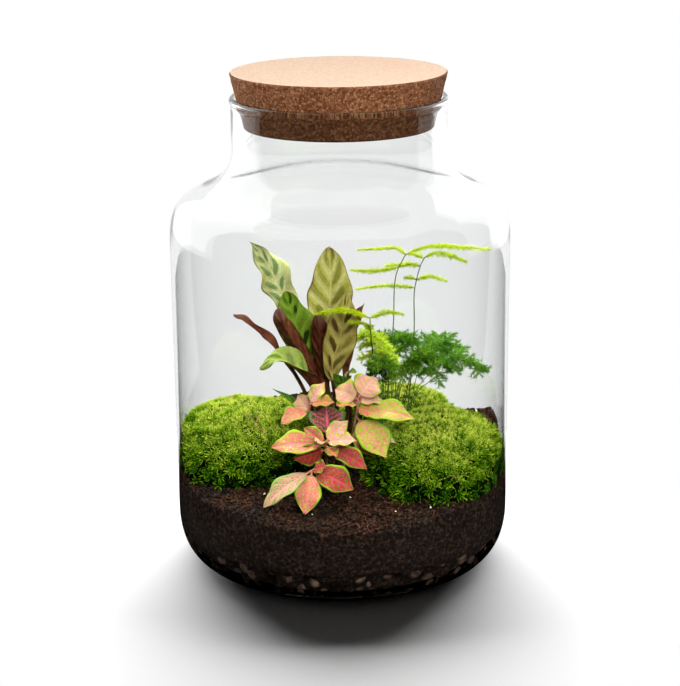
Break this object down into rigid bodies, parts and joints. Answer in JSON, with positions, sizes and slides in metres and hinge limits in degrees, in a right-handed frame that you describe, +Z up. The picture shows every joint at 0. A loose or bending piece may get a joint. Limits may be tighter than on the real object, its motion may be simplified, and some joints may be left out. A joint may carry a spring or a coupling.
{
  "type": "glass plant terrarium",
  "caption": "Wide-mouth glass jar with a tapered cork stopper, planted with moss cushions, leafy plants and a fern on soil over clay pebbles.",
  "frame": {"origin": "middle of the jar's foot, on the surface that it stands on", "axes": "+Z up along the jar, the pictured front faces -Y, +X to the right seen from the front"},
  "size_m": [0.185, 0.185, 0.27],
  "materials": {
    "glass": "clear, polished",
    "cork": "granulated cork, matt",
    "clay": "fired clay balls, matt and dusty",
    "soil": "damp potting soil, matt",
    "moss": "cushion moss, matt",
    "prayer_leaf": "satin leaf",
    "nerve_leaf": "satin leaf",
    "fern": "soft matt needles"
  },
  "bodies": {
    "root": {"glass_jar": "glass", "cork_stopper": "cork", "clay_pebbles": "clay", "soil": "soil", "moss_left": "moss", "moss_right": "moss", "moss_back": "moss", "prayer_leaf_1": "prayer_leaf", "prayer_leaf_2": "prayer_leaf", "prayer_leaf_3": "prayer_leaf", "prayer_leaf_4": "prayer_leaf", "prayer_leaf_5": "prayer_leaf", "prayer_leaf_6": "prayer_leaf", "prayer_leaf_7": "prayer_leaf", "prayer_leaf_8": "prayer_leaf", "prayer_leaf_9": "prayer_leaf", "prayer_leaf_10": "prayer_leaf", "prayer_leaf_11": "prayer_leaf", "prayer_leaf_12": "prayer_leaf", "nerve_plant_front": "nerve_leaf", "nerve_plant_middle": "nerve_leaf", "nerve_plant_right": "nerve_leaf", "nerve_plant_left": "nerve_leaf", "nerve_plant_centre": "nerve_leaf", "fern_high_left": "fern", "fern_high_right": "fern", "fern_low_left": "fern", "fern_bush_1": "fern", "fern_bush_2": "fern", "fern_bush_3": "fern", "fern_bush_4": "fern", "fern_bush_5": "fern", "fern_bush_6": "fern"}
  },
  "joints": []
}
